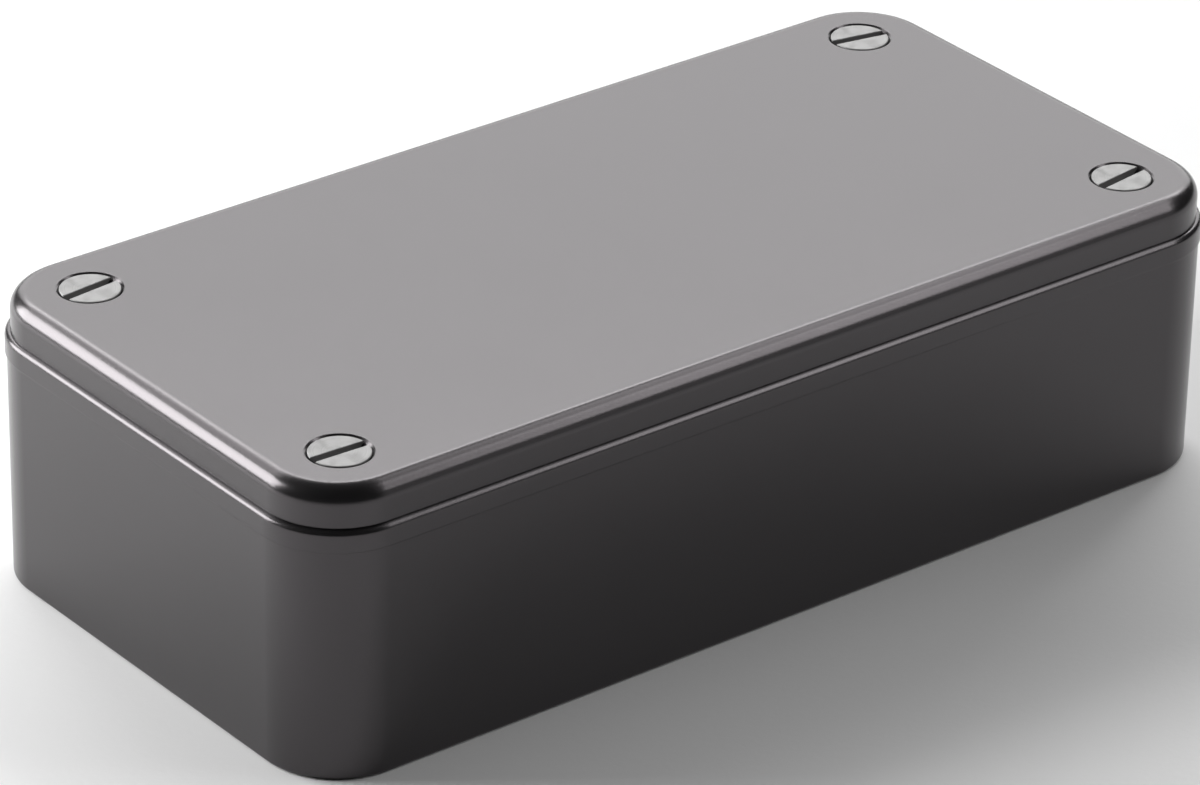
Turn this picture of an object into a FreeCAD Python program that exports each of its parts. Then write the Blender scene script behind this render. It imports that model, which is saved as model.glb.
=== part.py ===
"""Small moulded project box: a drafted tray, a lid, four countersunk screws and their threaded inserts.

The origin is at the middle of the underside. +X runs along the long sides, +Z points up, and the
side at -Y is the front. All sizes are in millimetres and degrees.
"""
import FreeCAD
import Part
import Sketcher

import enum
import math
import os

UP = FreeCAD.Vector(0, 0, 1)
ON_LEVEL = 1e-4


class Spot(enum.IntEnum):
    """The points of a sketch's lines and arcs, and the axis that starts at its root."""

    START = 1
    END = 2
    CENTRE = 3
    ROOT_AXIS = -1


SIZES = {
    # Closed box, over the band round the tray's rim
    "length": 100.0,
    "width": 50.0,
    "height": 27.0,
    "corner_radius": 7.5,
    # Tray
    "wall": 2.0,
    "floor_thickness": 2.0,
    "draft_angle": 0.25,
    "band_height": 2.0,
    "band_proud": 0.15,
    "rim_bevel": 0.4,
    "foot_bevel": 0.4,
    "floor_bevel": 1.0,
    # Lid
    "lid_depth": 3.55,
    "lid_inset": 0.5,
    "lid_plate": 2.0,
    "lid_skirt": 2.0,
    "lid_edge_round": 1.6,
    "lid_foot_bevel": 0.1,
    "lip_depth": 1.6,
    "lip_thickness": 1.2,
    "lip_clearance": 0.15,
    # Corner posts
    "post_inset_long": 7.5,
    "post_inset_short": 7.15,
    "post_radius": 3.8,
    "post_gap": 0.1,
    "post_clearance": 0.5,
    "web_thickness": 1.2,
    "web_drop": 1.0,
    "relief_radius": 1.8,
    # Slots that hold a circuit board on edge
    "board_slot": 1.8,
    "board_slot_pitch": 10.0,
    "rib_thickness": 1.0,
    "rib_proud": 1.5,
    "rib_drop": 2.4,
    # Screws
    "screw_radius": 1.5,
    "screw_length": 10.0,
    "screw_tip": 0.4,
    "head_radius": 2.65,
    "head_rim": 0.2,
    "driver_slot": 0.8,
    "driver_slot_depth": 0.85,
    "countersink_radius": 2.95,
    "screw_hole_radius": 1.75,
    "head_clearance": 0.05,
    # Inserts
    "insert_radius": 2.3,
    "insert_length": 6.0,
    "insert_mouth": 0.3,
    "insert_fit": 0.02,
    "thread_clearance": 0.05,
}

# Each corner's side in X and in Y, and the angle at which its screw's slot came to a stop
CORNERS = {
    "front_left": (-1, -1, -2.5),
    "front_right": (1, -1, 7.6),
    "rear_left": (-1, 1, 5.7),
    "rear_right": (1, 1, -10.8),
}

# Lengths that several sub-parts share, as expressions in the sheet's names
SEAM = "(sizes.height - sizes.lid_depth)"
DRAFT = "tan(sizes.draft_angle * 1 deg)"
CAVITY_X = "(sizes.length / 2 - sizes.band_proud - sizes.wall)"
CAVITY_Y = "(sizes.width / 2 - sizes.band_proud - sizes.wall)"
CAVITY_CORNER = "(sizes.corner_radius - sizes.band_proud - sizes.wall)"
POST_X = "(sizes.length / 2 - sizes.post_inset_long)"
POST_Y = "(sizes.width / 2 - sizes.post_inset_short)"
POST_TOP = f"({SEAM} - sizes.post_gap)"
PLATE_UNDERSIDE = "(sizes.height - sizes.lid_plate)"
HEAD_SINK = (
    "(sizes.countersink_radius - sizes.head_radius - sizes.head_rim"
    " - sizes.head_clearance * sqrt(2))"
)


def make_sheet(doc):
    """Writes each driving dimension to a cell of its own and names the cell."""
    sheet = doc.addObject("Spreadsheet::Sheet", "sizes")
    for row, (name, value) in enumerate(SIZES.items(), start=1):
        sheet.set(f"A{row}", name)
        sheet.set(f"B{row}", str(value))
        sheet.setAlias(f"B{row}", name)
    doc.recompute()


# Helpers for bodies, sketches and features


def new_body(doc, name):
    """Starts a sub-part under its own name."""
    body = doc.addObject("PartDesign::Body", name)
    body.Label = name
    return body


def bind(thing, values):
    """Ties properties of an object to expressions."""
    for name, text in values.items():
        thing.setExpression(name, text)


def value_of(doc, text):
    """Works an expression out with the sheet's present values."""
    result = doc.sizes.evalExpression(text)
    return float(getattr(result, "Value", result))


def origin_item(body, role):
    """Returns one of the body's own origin planes or axes."""
    return next(item for item in body.Origin.OriginFeatures if item.Role == role)


def new_sketch(body, name, height="0", role="XY_Plane"):
    """Starts a sketch on an origin plane of the body, moved off it by a height."""
    sketch = body.newObject("Sketcher::SketchObject", name)
    sketch.AttachmentSupport = [(origin_item(body, role), "")]
    sketch.MapMode = "FlatFace"
    bind(sketch, {".AttachmentOffset.Base.z": height})
    return sketch


def constrain(sketch, kind, *where):
    """Adds a constraint that has no value of its own."""
    return sketch.addConstraint(Sketcher.Constraint(kind, *where))


def constrain_to(sketch, text, kind, *where):
    """Adds a constraint whose value is an expression."""
    start_value = 1.0
    index = sketch.addConstraint(Sketcher.Constraint(kind, *where, start_value))
    name = f"size_{index}"
    sketch.renameConstraint(index, name)
    bind(sketch, {f"Constraints.{name}": text})


def rounded_rectangle(sketch, half_x, half_y, radius):
    """Draws a rectangle with round corners about the origin, from its half lengths and corner radius."""
    x, y, r = (value_of(sketch.Document, text) for text in (half_x, half_y, radius))
    corners = [(x - r, y - r, 0), (r - x, y - r, 1), (r - x, r - y, 2), (x - r, r - y, 3)]
    arcs = []
    for centre_x, centre_y, quarter in corners:
        circle = Part.Circle(FreeCAD.Vector(centre_x, centre_y, 0), UP, r)
        start = quarter * math.pi / 2
        arcs.append(sketch.addGeometry(Part.ArcOfCircle(circle, start, start + math.pi / 2)))
    lines = []
    for arc, following in zip(arcs, arcs[1:] + arcs[:1]):
        first = sketch.Geometry[arc].EndPoint
        last = sketch.Geometry[following].StartPoint
        line = sketch.addGeometry(Part.LineSegment(first, last))
        constrain(sketch, "Tangent", arc, Spot.END, line, Spot.START)
        constrain(sketch, "Tangent", line, Spot.END, following, Spot.START)
        lines.append(line)
    top, left, bottom, right = lines
    constrain(sketch, "Horizontal", top)
    constrain(sketch, "Horizontal", bottom)
    constrain(sketch, "Vertical", left)
    constrain(sketch, "Vertical", right)
    for arc in arcs[1:]:
        constrain(sketch, "Equal", arcs[0], arc)
    root = (Spot.ROOT_AXIS, Spot.START)
    constrain(sketch, "Symmetric", arcs[0], Spot.CENTRE, arcs[2], Spot.CENTRE, *root)
    constrain_to(sketch, radius, "Radius", arcs[0])
    constrain_to(sketch, f"{half_x} - {radius}", "DistanceX", *root, arcs[0], Spot.CENTRE)
    constrain_to(sketch, f"{half_y} - {radius}", "DistanceY", *root, arcs[0], Spot.CENTRE)


def polygon(sketch, points):
    """Draws a closed outline through points whose two coordinates are expressions."""
    doc = sketch.Document
    rough = [FreeCAD.Vector(value_of(doc, x), value_of(doc, y), 0) for x, y in points]
    lines = []
    for first, last in zip(rough, rough[1:] + rough[:1]):
        lines.append(sketch.addGeometry(Part.LineSegment(first, last)))
    for line, following in zip(lines, lines[1:] + lines[:1]):
        constrain(sketch, "Coincident", line, Spot.END, following, Spot.START)
    for line, (x, y) in zip(lines, points):
        constrain_to(sketch, x, "DistanceX", Spot.ROOT_AXIS, Spot.START, line, Spot.START)
        constrain_to(sketch, y, "DistanceY", Spot.ROOT_AXIS, Spot.START, line, Spot.START)


def rectangle(sketch, x_low, x_high, y_low, y_high):
    """Draws a rectangle between four expressions."""
    polygon(sketch, [(x_low, y_low), (x_high, y_low), (x_high, y_high), (x_low, y_high)])


def circle(sketch, x, y, radius):
    """Draws a circle whose centre and radius are expressions."""
    doc = sketch.Document
    centre = FreeCAD.Vector(value_of(doc, x), value_of(doc, y), 0)
    ring = sketch.addGeometry(Part.Circle(centre, UP, value_of(doc, radius)))
    constrain_to(sketch, x, "DistanceX", Spot.ROOT_AXIS, Spot.START, ring, Spot.CENTRE)
    constrain_to(sketch, y, "DistanceY", Spot.ROOT_AXIS, Spot.START, ring, Spot.CENTRE)
    constrain_to(sketch, radius, "Radius", ring)


def extrude(body, kind, name, sketch, length, taper="0", towards_sketch_back=False):
    """Pads or pockets a sketch over a length, with its sides tapered."""
    feature = body.newObject(f"PartDesign::{kind}", name)
    feature.Profile = sketch
    feature.Reversed = towards_sketch_back
    bind(feature, {"Length": length, "TaperAngle": taper})
    body.Document.recompute()
    return feature


def level_edges(shape, level):
    """Names the edges that lie wholly at one height."""
    names = []
    for number, edge in enumerate(shape.Edges, start=1):
        box = edge.BoundBox
        if abs(box.ZMin - level) < ON_LEVEL and abs(box.ZMax - level) < ON_LEVEL:
            names.append(f"Edge{number}")
    return names


def soften_edges(body, kind, name, level, size):
    """Fillets or chamfers every edge of the body at one height."""
    base = body.Tip
    feature = body.newObject(f"PartDesign::{kind}", name)
    feature.Base = (base, level_edges(base.Shape, value_of(body.Document, level)))
    bind(feature, {"Radius" if kind == "Fillet" else "Size": size})
    body.Document.recompute()


def repeat(body, name, originals, steps):
    """Repeats features by a chain of mirrors and rows, given as a kind and its settings."""
    chain = body.newObject("PartDesign::MultiTransform", name)
    chain.Originals = originals
    made = []
    for number, (kind, reference, settings) in enumerate(steps):
        step = body.newObject(f"PartDesign::{kind}", f"{name}_{number}")
        setattr(step, "MirrorPlane" if kind == "Mirrored" else "Direction", (reference, [""]))
        for setting, value in settings.items():
            if isinstance(value, str):
                bind(step, {setting: value})
            else:
                setattr(step, setting, value)
        made.append(step)
    chain.Transformations = made
    body.Tip = chain
    body.Document.recompute()


def four_corners(body, name, originals):
    """Repeats what stands at one corner at all four."""
    mirrors = [("Mirrored", origin_item(body, role), {}) for role in ("YZ_Plane", "XZ_Plane")]
    repeat(body, name, originals, mirrors)


def revolve(body, name, sketch):
    """Turns a profile once round the body's own upright axis."""
    feature = body.newObject("PartDesign::Revolution", name)
    feature.Profile = sketch
    feature.ReferenceAxis = (sketch, ["V_Axis"])
    feature.Angle = 360.0
    body.Document.recompute()


# Tray


def make_tray(doc):
    """Moulds the tray: drafted walls, a band round the rim, posts for the lid and slots for boards."""
    body = new_body(doc, "base_shell")
    tray_outside(body)
    tray_cavity(body)
    tray_posts(body)
    board_slots(body, "long", POST_X, CAVITY_Y)
    board_slots(body, "short", POST_Y, CAVITY_X)
    return body


def tray_outside(body):
    """Makes the drafted block, its bevelled foot and the band that stands proud round the rim."""
    lean = f"(sizes.band_proud + {SEAM} * {DRAFT})"
    foot = new_sketch(body, "foot_outline")
    rounded_rectangle(
        foot,
        f"(sizes.length / 2 - {lean})",
        f"(sizes.width / 2 - {lean})",
        f"(sizes.corner_radius - {lean})",
    )
    extrude(body, "Pad", "drafted_block", foot, SEAM, taper="-sizes.draft_angle")
    soften_edges(body, "Chamfer", "bevelled_foot", "0", "sizes.foot_bevel")
    rim = new_sketch(body, "rim_outline", height=f"{SEAM} - sizes.band_height")
    rounded_rectangle(rim, "sizes.length / 2", "sizes.width / 2", "sizes.corner_radius")
    extrude(body, "Pad", "rim_band", rim, "sizes.band_height")
    soften_edges(body, "Chamfer", "bevelled_rim", SEAM, "sizes.rim_bevel")


def tray_cavity(body):
    """Hollows the tray from its rim, narrower towards the floor."""
    mouth = new_sketch(body, "mouth_outline", height=SEAM)
    rounded_rectangle(mouth, CAVITY_X, CAVITY_Y, CAVITY_CORNER)
    depth = f"{SEAM} - sizes.floor_thickness"
    extrude(body, "Pocket", "cavity", mouth, depth, taper="sizes.draft_angle")
    soften_edges(body, "Chamfer", "bevelled_floor", "sizes.floor_thickness", "sizes.floor_bevel")


def tray_posts(body):
    """Stands a hollow post in each corner, webbed to both walls, with a seat for its insert."""
    root = "sizes.floor_thickness / 2"
    boss = new_sketch(body, "post_outline", height=root)
    circle(boss, POST_X, POST_Y, "sizes.post_radius")
    post = extrude(body, "Pad", "post", boss, f"{POST_TOP} - {root}")

    half_web = "sizes.web_thickness / 2"
    web_plan = new_sketch(body, "web_outline", height=root)
    rectangle(
        web_plan, POST_X, f"{CAVITY_X} + sizes.wall / 2", f"{POST_Y} - {half_web}", f"{POST_Y} + {half_web}"
    )
    web_height = f"{POST_TOP} - sizes.web_drop - {root}"
    end_web = extrude(body, "Pad", "end_web", web_plan, web_height)
    web_plan = new_sketch(body, "side_web_outline", height=root)
    rectangle(
        web_plan, f"{POST_X} - {half_web}", f"{POST_X} + {half_web}", POST_Y, f"{CAVITY_Y} + sizes.wall / 2"
    )
    side_web = extrude(body, "Pad", "side_web", web_plan, web_height)

    seat_plan = new_sketch(body, "insert_seat_outline", height=POST_TOP)
    circle(seat_plan, POST_X, POST_Y, "sizes.insert_radius + sizes.insert_fit")
    seat = extrude(body, "Pocket", "insert_seat", seat_plan, "sizes.insert_length")
    relief_plan = new_sketch(body, "relief_outline", height=POST_TOP)
    circle(relief_plan, POST_X, POST_Y, "sizes.relief_radius")
    relief_depth = f"{POST_TOP} - sizes.floor_thickness - sizes.wall"
    relief = extrude(body, "Pocket", "relief", relief_plan, relief_depth)
    four_corners(body, "corner_posts", [post, end_web, side_web, seat, relief])


def board_slots(body, name, post_place, wall_place):
    """Lines two facing walls with pairs of upright ribs, each pair holding the edge of a board."""
    doc = body.Document
    half_pair = "(sizes.board_slot / 2 + sizes.rib_thickness)"
    reach = value_of(doc, f"{post_place} - sizes.post_radius - sizes.post_clearance - {half_pair}")
    each_side = int(reach // value_of(doc, "sizes.board_slot_pitch"))
    first = f"-{each_side} * sizes.board_slot_pitch"
    along_long_wall = name == "long"
    root = "sizes.floor_thickness / 2"
    plan = new_sketch(body, f"{name}_rib_outline", height=root)
    crest = f"{wall_place} - sizes.rib_proud"
    back = f"{wall_place} + sizes.wall / 2"
    for side in (-1, 1):
        inner = f"{first} + {side} * sizes.board_slot / 2"
        outer = f"{first} + {side} * {half_pair}"
        if along_long_wall:
            rectangle(plan, inner, outer, crest, back)
        else:
            rectangle(plan, crest, back, inner, outer)
    pair = extrude(body, "Pad", f"{name}_rib_pair", plan, f"{SEAM} - sizes.rib_drop - {root}")
    row_axis = origin_item(body, "X_Axis" if along_long_wall else "Y_Axis")
    across = origin_item(body, "XZ_Plane" if along_long_wall else "YZ_Plane")
    row = {"Occurrences": 2 * each_side + 1, "Length": f"{2 * each_side} * sizes.board_slot_pitch"}
    repeat(body, f"{name}_ribs", [pair], [("LinearPattern", row_axis, row), ("Mirrored", across, {})])


# Lid


def make_lid(doc):
    """Moulds the lid: a hollow plate with a round top edge, a locating lip, bosses and screw holes."""
    body = new_body(doc, "lid")
    plan = new_sketch(body, "lid_outline", height=SEAM)
    rounded_rectangle(
        plan,
        "(sizes.length / 2 - sizes.lid_inset)",
        "(sizes.width / 2 - sizes.lid_inset)",
        "(sizes.corner_radius - sizes.lid_inset)",
    )
    extrude(body, "Pad", "lid_block", plan, "sizes.lid_depth")
    soften_edges(body, "Fillet", "rounded_top", "sizes.height", "sizes.lid_edge_round")
    soften_edges(body, "Chamfer", "bevelled_lid_foot", SEAM, "sizes.lid_foot_bevel")
    lid_underside(body)
    screw_holes(body)
    return body


def lid_underside(body):
    """Hollows the lid from below and adds the bosses and the lip that drops inside the tray."""
    skirt = "(sizes.lid_inset + sizes.lid_skirt)"
    plan = new_sketch(body, "hollow_outline", height=SEAM)
    rounded_rectangle(
        plan,
        f"(sizes.length / 2 - {skirt})",
        f"(sizes.width / 2 - {skirt})",
        f"(sizes.corner_radius - {skirt})",
    )
    depth = f"{PLATE_UNDERSIDE} - {SEAM}"
    extrude(body, "Pocket", "hollow", plan, depth, towards_sketch_back=True)

    boss_plan = new_sketch(body, "boss_outline", height=SEAM)
    circle(boss_plan, POST_X, POST_Y, "sizes.post_radius")
    boss = extrude(body, "Pad", "boss", boss_plan, depth)
    four_corners(body, "bosses", [boss])

    room_at_post = "(sizes.post_radius + sizes.post_clearance)"
    lip_foot = f"({SEAM} - sizes.lip_depth)"
    lip_plan = new_sketch(body, "lip_outline", height=lip_foot)
    half_long = f"({POST_X} - {room_at_post})"
    half_short = f"({POST_Y} - {room_at_post})"
    outer_x = f"({CAVITY_X} - sizes.lip_clearance)"
    outer_y = f"({CAVITY_Y} - sizes.lip_clearance)"
    for side in (-1, 1):
        far_y = f"{side} * {outer_y}"
        near_y = f"{side} * ({outer_y} - sizes.lip_thickness)"
        rectangle(lip_plan, f"-{half_long}", half_long, near_y, far_y)
        far_x = f"{side} * {outer_x}"
        near_x = f"{side} * ({outer_x} - sizes.lip_thickness)"
        rectangle(lip_plan, near_x, far_x, f"-{half_short}", half_short)
    extrude(body, "Pad", "lip", lip_plan, f"{PLATE_UNDERSIDE} - {lip_foot}")


def screw_holes(body):
    """Drills and countersinks the lid over each post."""
    plan = new_sketch(body, "screw_hole_outline", height="sizes.height")
    for side_x, side_y, _ in CORNERS.values():
        circle(plan, f"{side_x} * {POST_X}", f"{side_y} * {POST_Y}", "sizes.screw_hole_radius")
    holes = extrude(body, "Pocket", "screw_holes", plan, "sizes.lid_depth")
    mouths = []
    for name in level_edges(holes.Shape, value_of(body.Document, "sizes.height")):
        edge = holes.Shape.getElement(name)
        if isinstance(edge.Curve, Part.Circle) and edge.isClosed():
            mouths.append(name)
    countersinks = body.newObject("PartDesign::Chamfer", "countersinks")
    countersinks.Base = (holes, mouths)
    bind(countersinks, {"Size": "sizes.countersink_radius - sizes.screw_hole_radius"})
    body.Document.recompute()


# Screws and inserts


def stand_at_corner(body, side_x, side_y, height, turn=0.0):
    """Places a round piece on a post's axis with its top at a height, turned about that axis."""
    body.Placement = FreeCAD.Placement(FreeCAD.Vector(), FreeCAD.Rotation(UP, turn))
    place = {"x": f"{side_x} * {POST_X}", "y": f"{side_y} * {POST_Y}", "z": height}
    bind(body, {f".Placement.Base.{axis}": text for axis, text in place.items()})


def make_screw(doc, name, side_x, side_y, turn):
    """Turns a countersunk screw and cuts its driver slot. Its top is at the origin of its body."""
    body = new_body(doc, name)
    profile = new_sketch(body, "profile", role="XZ_Plane")
    cone = "(sizes.head_radius - sizes.screw_radius)"
    polygon(
        profile,
        [
            ("0", "0"),
            ("sizes.head_radius", "0"),
            ("sizes.head_radius", "-sizes.head_rim"),
            ("sizes.screw_radius", f"-sizes.head_rim - {cone}"),
            ("sizes.screw_radius", "sizes.screw_tip - sizes.screw_length"),
            ("sizes.screw_radius - sizes.screw_tip", "-sizes.screw_length"),
            ("0", "-sizes.screw_length"),
        ],
    )
    revolve(body, "turned_blank", profile)
    plan = new_sketch(body, "driver_slot_outline")
    half = "sizes.driver_slot / 2"
    rectangle(plan, "-2 * sizes.head_radius", "2 * sizes.head_radius", f"-{half}", half)
    extrude(body, "Pocket", "driver_slot", plan, "sizes.driver_slot_depth")
    stand_at_corner(body, side_x, side_y, f"sizes.height - {HEAD_SINK}", turn)
    return body


def make_insert(doc, name, side_x, side_y):
    """Turns a threaded insert with a groove round its middle. Its top is at the origin of its body."""
    body = new_body(doc, name)
    profile = new_sketch(body, "profile", role="XZ_Plane")
    bore = "sizes.screw_radius + sizes.thread_clearance"
    polygon(
        profile,
        [
            (f"{bore} + sizes.insert_mouth", "0"),
            ("sizes.insert_radius", "0"),
            ("sizes.insert_radius", "-sizes.insert_length"),
            (bore, "-sizes.insert_length"),
            (bore, "-sizes.insert_mouth"),
        ],
    )
    revolve(body, "turned_insert", profile)
    stand_at_corner(body, side_x, side_y, POST_TOP)
    return body


# Document


def check(doc, sub_parts):
    """Stops if any object failed or any sub-part is not one sound solid."""
    for item in doc.Objects:
        if "Invalid" in item.State or "Error" in item.State:
            raise RuntimeError(f"{item.Label} failed: {item.State}")
    for part in sub_parts:
        shape = part.Shape
        if shape.isNull() or not shape.isValid() or len(shape.Solids) != 1:
            raise RuntimeError(f"{part.Label} is not one valid solid")


def main():
    """Builds every sub-part, checks it and writes it out."""
    doc = FreeCAD.newDocument("project_box")
    make_sheet(doc)
    sub_parts = [make_tray(doc), make_lid(doc)]
    for corner, (side_x, side_y, turn) in CORNERS.items():
        sub_parts.append(make_screw(doc, f"lid_screw_{corner}", side_x, side_y, turn))
        sub_parts.append(make_insert(doc, f"threaded_insert_{corner}", side_x, side_y))
    doc.recompute()
    check(doc, sub_parts)
    os.makedirs("parts", exist_ok=True)
    for part in sub_parts:
        part.Shape.exportStep(f"parts/{part.Label}.step")
        box = part.Shape.BoundBox
        print(f"{part.Label}: {part.Shape.Volume:.1f} mm3, {box.XMin:.2f}..{box.XMax:.2f}, "
              f"{box.YMin:.2f}..{box.YMax:.2f}, {box.ZMin:.2f}..{box.ZMax:.2f}")


main()
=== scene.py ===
"""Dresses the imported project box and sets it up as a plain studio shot.

The frame is the part's own: X runs along the long sides, -Y is the front and Z points up. Sizes in
the classes are millimetres and degrees, and every mesh is made in metres.
"""
import logging
import math
from collections.abc import Callable, Iterable, Sequence
from dataclasses import dataclass, field
from enum import Enum
from itertools import product
from typing import Any

import bmesh
import bpy
from mathutils import Matrix, Vector


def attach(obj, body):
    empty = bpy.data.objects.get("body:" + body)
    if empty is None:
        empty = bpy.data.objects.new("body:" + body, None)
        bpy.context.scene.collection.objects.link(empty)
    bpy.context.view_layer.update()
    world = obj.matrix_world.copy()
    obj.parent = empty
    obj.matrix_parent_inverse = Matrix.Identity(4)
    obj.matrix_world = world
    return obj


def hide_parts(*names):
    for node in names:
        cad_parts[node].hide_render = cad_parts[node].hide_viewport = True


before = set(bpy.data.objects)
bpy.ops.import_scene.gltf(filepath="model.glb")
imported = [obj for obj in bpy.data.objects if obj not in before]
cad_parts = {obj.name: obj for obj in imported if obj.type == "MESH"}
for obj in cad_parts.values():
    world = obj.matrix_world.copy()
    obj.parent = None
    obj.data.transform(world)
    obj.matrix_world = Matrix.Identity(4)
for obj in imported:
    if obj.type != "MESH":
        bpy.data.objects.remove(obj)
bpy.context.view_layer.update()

LOG = logging.getLogger("project_box")
MM = 0.001
# How far, in millimetres, a joined shape reaches into its carrier, and a cutter past the surface
OVERLAP = 1.0
# The turn, in degrees, from which an edge is shaded sharp, and the pull of large faces on normals
SHARP_TURN = 32
FACE_PULL = 90
# Divisions of a whole turn on small, middling and large round parts
BORE_STEPS = 64
POST_STEPS = 72
HOLE_STEPS = 96

Point = tuple[float, float, float]
Profile = list[tuple[float, float]]
Ring = list[Point]
Values = dict[Any, Any]


class Corner(Enum):
    """A corner of the box: its side in X, its side in Y and the angle of its screw's slot."""

    FRONT_LEFT = (-1, -1, -2.5)
    FRONT_RIGHT = (1, -1, 7.6)
    REAR_LEFT = (-1, 1, 5.7)
    REAR_RIGHT = (1, 1, -10.8)

    @property
    def tag(self) -> str:
        """Returns the corner's name as the nodes spell it."""
        return self.name.lower()

    @property
    def slot_angle(self) -> float:
        """Returns the angle of the screw's slot, in degrees."""
        return self.value[2]

    def at(self, x: float, y: float) -> tuple[float, float]:
        """Moves a point of the rear right quarter to this corner.

        Args:
            x: Distance from the middle in X.
            y: Distance from the middle in Y.

        Returns:
            The point in this corner's own quarter.
        """
        return self.value[0] * x, self.value[1] * y


class Cut(Enum):
    """What one mesh does to another."""

    JOIN = "UNION"
    REMOVE = "DIFFERENCE"


@dataclass(frozen=True)
class BoxSizes:
    """The sizes that the tray, the lid and the fasteners share."""

    length: float = 100.0
    width: float = 50.0
    height: float = 27.0
    corner_radius: float = 7.5
    lid_depth: float = 3.55
    wall: float = 2.0
    band_proud: float = 0.15
    draft: float = 0.25
    post_x: float = 42.5
    post_y: float = 17.85
    post_radius: float = 3.8
    post_gap: float = 0.1

    @property
    def seam(self) -> float:
        """Returns the height at which the lid meets the tray."""
        return self.height - self.lid_depth

    @property
    def post_top(self) -> float:
        """Returns the height of the posts' tops."""
        return self.seam - self.post_gap

    @property
    def cavity_inset(self) -> float:
        """Returns how far the cavity's mouth lies inside the rim."""
        return self.band_proud + self.wall

    def lean(self, depth: float) -> float:
        """Returns how far a drafted wall moves inwards over a depth."""
        return depth * math.tan(math.radians(self.draft))


# Shapes


def arc(inset: float, z: float, radius: float, start: float, end: float, steps: int) -> Profile:
    """Draws an arc in a profile of insets and heights.

    Args:
        inset: Inset of the arc's centre.
        z: Height of the arc's centre.
        radius: Radius of the arc.
        start: Angle of the first point, in degrees.
        end: Angle of the last point, in degrees.
        steps: Number of divisions.

    Returns:
        The points of the arc, both ends among them.
    """
    turns = [math.radians(start + (end - start) * i / steps) for i in range(steps + 1)]
    return [(inset + radius * math.cos(a), z + radius * math.sin(a)) for a in turns]


def rounded_ring(half_x: float, half_y: float, radius: float, z: float, steps: int = 24) -> Ring:
    """Lays out a level rectangle with round corners.

    Args:
        half_x: Half its length in X.
        half_y: Half its length in Y.
        radius: Corner radius.
        z: Height of the ring.
        steps: Divisions of each corner.

    Returns:
        The ring's points, counterclockwise from above.
    """
    ring: Ring = []
    for quarter, (side_x, side_y) in enumerate([(1, 1), (-1, 1), (-1, -1), (1, -1)]):
        for i in range(steps + 1):
            a = (quarter + i / steps) * math.pi / 2
            x = side_x * (half_x - radius) + radius * math.cos(a)
            y = side_y * (half_y - radius) + radius * math.sin(a)
            ring.append((x, y, z))
    return ring


def turned_ring(radius: Callable[[float], float], z: float, steps: int) -> Ring:
    """Lays out one level ring of a turned piece.

    Args:
        radius: Gives the radius at an angle, in radians.
        z: Height of the ring.
        steps: Number of points.

    Returns:
        The ring's points, counterclockwise from above.
    """
    turns = [math.tau * i / steps for i in range(steps)]
    return [(radius(a) * math.cos(a), radius(a) * math.sin(a), z) for a in turns]


def skin(name: str, rings: Sequence[Ring], closed: bool = False) -> bpy.types.Mesh:
    """Joins rings of equal length into one closed surface.

    Args:
        name: Name of the mesh.
        rings: The rings in order, in millimetres.
        closed: Whether the last ring joins the first, instead of both being filled.

    Returns:
        The new mesh, in metres.
    """
    shape = bmesh.new()
    rows = [[shape.verts.new(Vector(point) * MM) for point in ring] for ring in rings]
    pairs = list(zip(rows, rows[1:] + rows[:1])) if closed else list(zip(rows, rows[1:]))
    for low, high in pairs:
        for i in range(len(low)):
            j = (i + 1) % len(low)
            shape.faces.new((low[i], low[j], high[j], high[i]))
    if not closed:
        shape.faces.new(list(reversed(rows[0])))
        shape.faces.new(rows[-1])
    bmesh.ops.recalc_face_normals(shape, faces=shape.faces)
    mesh = bpy.data.meshes.new(name)
    shape.to_mesh(mesh)
    shape.free()
    return mesh


def swept(name: str, sizes: BoxSizes, profile: Profile) -> bpy.types.Mesh:
    """Sweeps a profile of insets and heights round the outline of the box.

    Args:
        name: Name of the mesh.
        sizes: The sizes of the box.
        profile: Insets from the outline and heights, in order.

    Returns:
        The closed mesh.
    """
    half_x, half_y, radius = sizes.length / 2, sizes.width / 2, sizes.corner_radius
    return skin(name, [rounded_ring(half_x - i, half_y - i, radius - i, z) for i, z in profile])


def turned(name: str, profile: Profile, steps: int) -> bpy.types.Mesh:
    """Turns a profile of radii and heights round the Z axis.

    Args:
        name: Name of the mesh.
        profile: Radii and heights, in order.
        steps: Divisions of the turn.

    Returns:
        The closed mesh.
    """
    return skin(name, [turned_ring(lambda _, r=r: r, z, steps) for r, z in profile])


def block(low: Sequence[float], high: Sequence[float], edge: float = 0.1) -> bpy.types.Mesh:
    """Makes a block with softened edges.

    Args:
        low: Lowest corner.
        high: Highest corner.
        edge: Radius of its edges.

    Returns:
        The closed mesh.
    """
    shape = bmesh.new()
    bmesh.ops.create_cube(shape, size=1.0)
    for vert in shape.verts:
        share = [c + 0.5 for c in vert.co]
        vert.co = Vector([(a + (b - a) * s) * MM for a, b, s in zip(low, high, share)])
    edges = list(shape.edges)
    bmesh.ops.bevel(
        shape, geom=edges, offset=edge * MM, segments=2, profile=0.5, affect="EDGES")
    mesh = bpy.data.meshes.new("block")
    shape.to_mesh(mesh)
    shape.free()
    return mesh


def gathered(meshes: Iterable[tuple[bpy.types.Mesh, tuple[float, float]]]) -> bpy.types.Mesh:
    """Puts several meshes that don't touch into one.

    Args:
        meshes: Each mesh and how far it moves in X and Y.

    Returns:
        One mesh that holds them all.
    """
    shape = bmesh.new()
    for mesh, (x, y) in meshes:
        moved = mesh.copy()
        moved.transform(Matrix.Translation(Vector((x, y, 0)) * MM))
        shape.from_mesh(moved)
        bpy.data.meshes.remove(moved)
    whole = bpy.data.meshes.new("gathered")
    shape.to_mesh(whole)
    shape.free()
    return whole


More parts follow.
